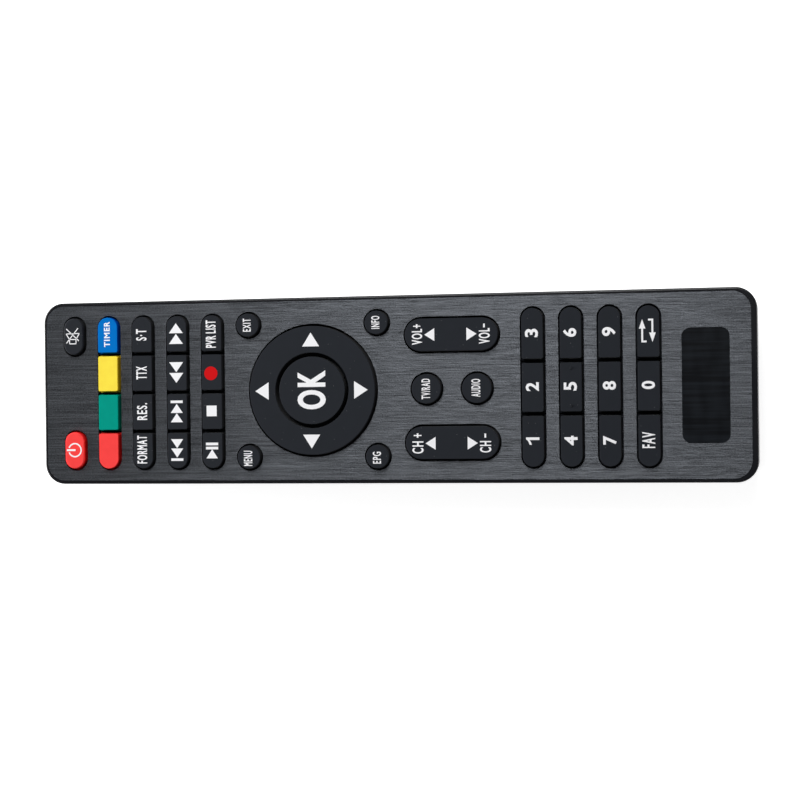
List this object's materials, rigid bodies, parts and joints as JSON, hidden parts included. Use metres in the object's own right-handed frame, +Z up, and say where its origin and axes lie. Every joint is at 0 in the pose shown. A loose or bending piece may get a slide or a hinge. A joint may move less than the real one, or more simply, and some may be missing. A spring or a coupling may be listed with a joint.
{
  "type": "remote control",
  "caption": "Slim handheld infrared remote control for a satellite receiver, with rows of keys, a direction ring, rockers and a number pad on a dark brushed face.",
  "frame": {"origin": "middle of the outline on the surface that the remote lies on", "axes": "+Z up through the keys, +Y along the length towards the infrared end, +X to the right of a person who points it away"},
  "size_m": [0.0482, 0.1858, 0.0214],
  "materials": {
    "key_rubber": "matte soft-touch black",
    "red_rubber": "matte red",
    "green_rubber": "matte green",
    "yellow_rubber": "matte yellow",
    "blue_rubber": "matte blue",
    "mat_silicone": "matte dark grey silicone",
    "shell_plastic": "satin black",
    "plate_metal": "brushed along the length, dark grey",
    "label_gloss": "dark and smooth",
    "board": "green solder mask",
    "chip_plastic": "matte black",
    "resonator_plastic": "glossy amber dip",
    "capacitor_can": "shrink sleeve",
    "led_lens": "clear blue-grey epoxy",
    "window_plastic": "dark red, clear to infrared",
    "cell_jacket": "printed foil jacket",
    "contact_steel": "nickel-plated",
    "screw_steel": "black zinc",
    "white_print": "white ink of words, numbers and signs",
    "red_print": "red ink of the record dot",
    "carbon_print": "black carbon ink of the contact pads"
  },
  "bodies": {
    "housing": {"front_shell": "shell_plastic", "rear_shell": "shell_plastic", "face_plate": "plate_metal", "label_inlay": "label_gloss", "keypad_mat": "mat_silicone", "circuit_board": "board", "controller_chip": "chip_plastic", "ceramic_resonator": "resonator_plastic", "supply_capacitor": "capacitor_can", "chip_resistors": "chip_plastic", "infrared_led": "led_lens", "infrared_window": "window_plastic", "battery_left": "cell_jacket", "battery_right": "cell_jacket", "contact_springs": "contact_steel", "contact_plates": "contact_steel", "shell_screws": "screw_steel"},
    "mute_key": {"mute_key": "key_rubber"},
    "format_key": {"format_key": "key_rubber"},
    "resolution_key": {"resolution_key": "key_rubber"},
    "teletext_key": {"teletext_key": "key_rubber"},
    "subtitle_key": {"subtitle_key": "key_rubber"},
    "previous_key": {"previous_key": "key_rubber"},
    "next_key": {"next_key": "key_rubber"},
    "rewind_key": {"rewind_key": "key_rubber"},
    "fast_forward_key": {"fast_forward_key": "key_rubber"},
    "play_pause_key": {"play_pause_key": "key_rubber"},
    "stop_key": {"stop_key": "key_rubber"},
    "record_key": {"record_key": "key_rubber"},
    "recordings_key": {"recordings_key": "key_rubber"},
    "exit_key": {"exit_key": "key_rubber"},
    "menu_key": {"menu_key": "key_rubber"},
    "info_key": {"info_key": "key_rubber"},
    "guide_key": {"guide_key": "key_rubber"},
    "tv_radio_key": {"tv_radio_key": "key_rubber"},
    "audio_key": {"audio_key": "key_rubber"},
    "digit_0_key": {"digit_0_key": "key_rubber"},
    "digit_1_key": {"digit_1_key": "key_rubber"},
    "digit_2_key": {"digit_2_key": "key_rubber"},
    "digit_3_key": {"digit_3_key": "key_rubber"},
    "digit_4_key": {"digit_4_key": "key_rubber"},
    "digit_5_key": {"digit_5_key": "key_rubber"},
    "digit_6_key": {"digit_6_key": "key_rubber"},
    "digit_7_key": {"digit_7_key": "key_rubber"},
    "digit_8_key": {"digit_8_key": "key_rubber"},
    "digit_9_key": {"digit_9_key": "key_rubber"},
    "favourites_key": {"favourites_key": "key_rubber"},
    "recall_key": {"recall_key": "key_rubber"},
    "power_key": {"power_key": "red_rubber"},
    "red_key": {"red_key": "red_rubber"},
    "green_key": {"green_key": "green_rubber"},
    "yellow_key": {"yellow_key": "yellow_rubber"},
    "timer_key": {"timer_key": "blue_rubber"},
    "ok_key": {"ok_key": "key_rubber"},
    "ring_collar": {"ring_collar": "mat_silicone"},
    "direction_ring": {"direction_ring": "key_rubber"},
    "volume_rocker": {"volume_rocker": "key_rubber"},
    "channel_rocker": {"channel_rocker": "key_rubber"},
    "battery_door": {"battery_door": "shell_plastic"}
  },
  "joints": [
    {"name": "mute_key_press", "type": "slide", "parent": "housing", "child": "mute_key", "axis": [0, 0, -1], "range_m": [0, 0.001], "stiffness_N_per_m": 1200},
    {"name": "format_key_press", "type": "slide", "parent": "housing", "child": "format_key", "axis": [0, 0, -1], "range_m": [0, 0.001], "stiffness_N_per_m": 1200},
    {"name": "resolution_key_press", "type": "slide", "parent": "housing", "child": "resolution_key", "axis": [0, 0, -1], "range_m": [0, 0.001], "stiffness_N_per_m": 1200},
    {"name": "teletext_key_press", "type": "slide", "parent": "housing", "child": "teletext_key", "axis": [0, 0, -1], "range_m": [0, 0.001], "stiffness_N_per_m": 1200},
    {"name": "subtitle_key_press", "type": "slide", "parent": "housing", "child": "subtitle_key", "axis": [0, 0, -1], "range_m": [0, 0.001], "stiffness_N_per_m": 1200},
    {"name": "previous_key_press", "type": "slide", "parent": "housing", "child": "previous_key", "axis": [0, 0, -1], "range_m": [0, 0.001], "stiffness_N_per_m": 1200},
    {"name": "next_key_press", "type": "slide", "parent": "housing", "child": "next_key", "axis": [0, 0, -1], "range_m": [0, 0.001], "stiffness_N_per_m": 1200},
    {"name": "rewind_key_press", "type": "slide", "parent": "housing", "child": "rewind_key", "axis": [0, 0, -1], "range_m": [0, 0.001], "stiffness_N_per_m": 1200},
    {"name": "fast_forward_key_press", "type": "slide", "parent": "housing", "child": "fast_forward_key", "axis": [0, 0, -1], "range_m": [0, 0.001], "stiffness_N_per_m": 1200},
    {"name": "play_pause_key_press", "type": "slide", "parent": "housing", "child": "play_pause_key", "axis": [0, 0, -1], "range_m": [0, 0.001], "stiffness_N_per_m": 1200},
    {"name": "stop_key_press", "type": "slide", "parent": "housing", "child": "stop_key", "axis": [0, 0, -1], "range_m": [0, 0.001], "stiffness_N_per_m": 1200},
    {"name": "record_key_press", "type": "slide", "parent": "housing", "child": "record_key", "axis": [0, 0, -1], "range_m": [0, 0.001], "stiffness_N_per_m": 1200},
    {"name": "recordings_key_press", "type": "slide", "parent": "housing", "child": "recordings_key", "axis": [0, 0, -1], "range_m": [0, 0.001], "stiffness_N_per_m": 1200},
    {"name": "exit_key_press", "type": "slide", "parent": "housing", "child": "exit_key", "axis": [0, 0, -1], "range_m": [0, 0.001], "stiffness_N_per_m": 1200},
    {"name": "menu_key_press", "type": "slide", "parent": "housing", "child": "menu_key", "axis": [0, 0, -1], "range_m": [0, 0.001], "stiffness_N_per_m": 1200},
    {"name": "info_key_press", "type": "slide", "parent": "housing", "child": "info_key", "axis": [0, 0, -1], "range_m": [0, 0.001], "stiffness_N_per_m": 1200},
    {"name": "guide_key_press", "type": "slide", "parent": "housing", "child": "guide_key", "axis": [0, 0, -1], "range_m": [0, 0.001], "stiffness_N_per_m": 1200},
    {"name": "tv_radio_key_press", "type": "slide", "parent": "housing", "child": "tv_radio_key", "axis": [0, 0, -1], "range_m": [0, 0.001], "stiffness_N_per_m": 1200},
    {"name": "audio_key_press", "type": "slide", "parent": "housing", "child": "audio_key", "axis": [0, 0, -1], "range_m": [0, 0.001], "stiffness_N_per_m": 1200},
    {"name": "digit_0_key_press", "type": "slide", "parent": "housing", "child": "digit_0_key", "axis": [0, 0, -1], "range_m": [0, 0.001], "stiffness_N_per_m": 1200},
    {"name": "digit_1_key_press", "type": "slide", "parent": "housing", "child": "digit_1_key", "axis": [0, 0, -1], "range_m": [0, 0.001], "stiffness_N_per_m": 1200},
    {"name": "digit_2_key_press", "type": "slide", "parent": "housing", "child": "digit_2_key", "axis": [0, 0, -1], "range_m": [0, 0.001], "stiffness_N_per_m": 1200},
    {"name": "digit_3_key_press", "type": "slide", "parent": "housing", "child": "digit_3_key", "axis": [0, 0, -1], "range_m": [0, 0.001], "stiffness_N_per_m": 1200},
    {"name": "digit_4_key_press", "type": "slide", "parent": "housing", "child": "digit_4_key", "axis": [0, 0, -1], "range_m": [0, 0.001], "stiffness_N_per_m": 1200},
    {"name": "digit_5_key_press", "type": "slide", "parent": "housing", "child": "digit_5_key", "axis": [0, 0, -1], "range_m": [0, 0.001], "stiffness_N_per_m": 1200},
    {"name": "digit_6_key_press", "type": "slide", "parent": "housing", "child": "digit_6_key", "axis": [0, 0, -1], "range_m": [0, 0.001], "stiffness_N_per_m": 1200},
    {"name": "digit_7_key_press", "type": "slide", "parent": "housing", "child": "digit_7_key", "axis": [0, 0, -1], "range_m": [0, 0.001], "stiffness_N_per_m": 1200},
    {"name": "digit_8_key_press", "type": "slide", "parent": "housing", "child": "digit_8_key", "axis": [0, 0, -1], "range_m": [0, 0.001], "stiffness_N_per_m": 1200},
    {"name": "digit_9_key_press", "type": "slide", "parent": "housing", "child": "digit_9_key", "axis": [0, 0, -1], "range_m": [0, 0.001], "stiffness_N_per_m": 1200},
    {"name": "favourites_key_press", "type": "slide", "parent": "housing", "child": "favourites_key", "axis": [0, 0, -1], "range_m": [0, 0.001], "stiffness_N_per_m": 1200},
    {"name": "recall_key_press", "type": "slide", "parent": "housing", "child": "recall_key", "axis": [0, 0, -1], "range_m": [0, 0.001], "stiffness_N_per_m": 1200},
    {"name": "power_key_press", "type": "slide", "parent": "housing", "child": "power_key", "axis": [0, 0, -1], "range_m": [0, 0.001], "stiffness_N_per_m": 1200},
    {"name": "red_key_press", "type": "slide", "parent": "housing", "child": "red_key", "axis": [0, 0, -1], "range_m": [0, 0.001], "stiffness_N_per_m": 1200},
    {"name": "green_key_press", "type": "slide", "parent": "housing", "child": "green_key", "axis": [0, 0, -1], "range_m": [0, 0.001], "stiffness_N_per_m": 1200},
    {"name": "yellow_key_press", "type": "slide", "parent": "housing", "child": "yellow_key", "axis": [0, 0, -1], "range_m": [0, 0.001], "stiffness_N_per_m": 1200},
    {"name": "timer_key_press", "type": "slide", "parent": "housing", "child": "timer_key", "axis": [0, 0, -1], "range_m": [0, 0.001], "stiffness_N_per_m": 1200},
    {"name": "ok_key_press", "type": "slide", "parent": "housing", "child": "ok_key", "axis": [0, 0, -1], "range_m": [0, 0.001], "stiffness_N_per_m": 1400},
    {"name": "ring_tilt_up_down", "type": "hinge", "parent": "housing", "child": "ring_collar", "pos_m": [0, 0.0192, 0.0166], "axis": [1, 0, 0], "range_deg": [-2, 2], "stiffness_Nm_per_rad": 4},
    {"name": "ring_tilt_left_right", "type": "hinge", "parent": "ring_collar", "child": "direction_ring", "pos_m": [0, 0.0192, 0.0166], "axis": [0, 1, 0], "range_deg": [-2, 2], "stiffness_Nm_per_rad": 4},
    {"name": "volume_rocker_tilt", "type": "hinge", "parent": "housing", "child": "volume_rocker", "pos_m": [0.0138, -0.0171, 0.0166], "axis": [1, 0, 0], "range_deg": [-4, 4], "stiffness_Nm_per_rad": 1.2},
    {"name": "channel_rocker_tilt", "type": "hinge", "parent": "housing", "child": "channel_rocker", "pos_m": [-0.0138, -0.0171, 0.0166], "axis": [1, 0, 0], "range_deg": [-4, 4], "stiffness_Nm_per_rad": 1.2},
    {"name": "battery_door_slide", "type": "slide", "parent": "housing", "child": "battery_door", "axis": [0, -1, 0], "range_m": [0, 0.06]}
  ]
}
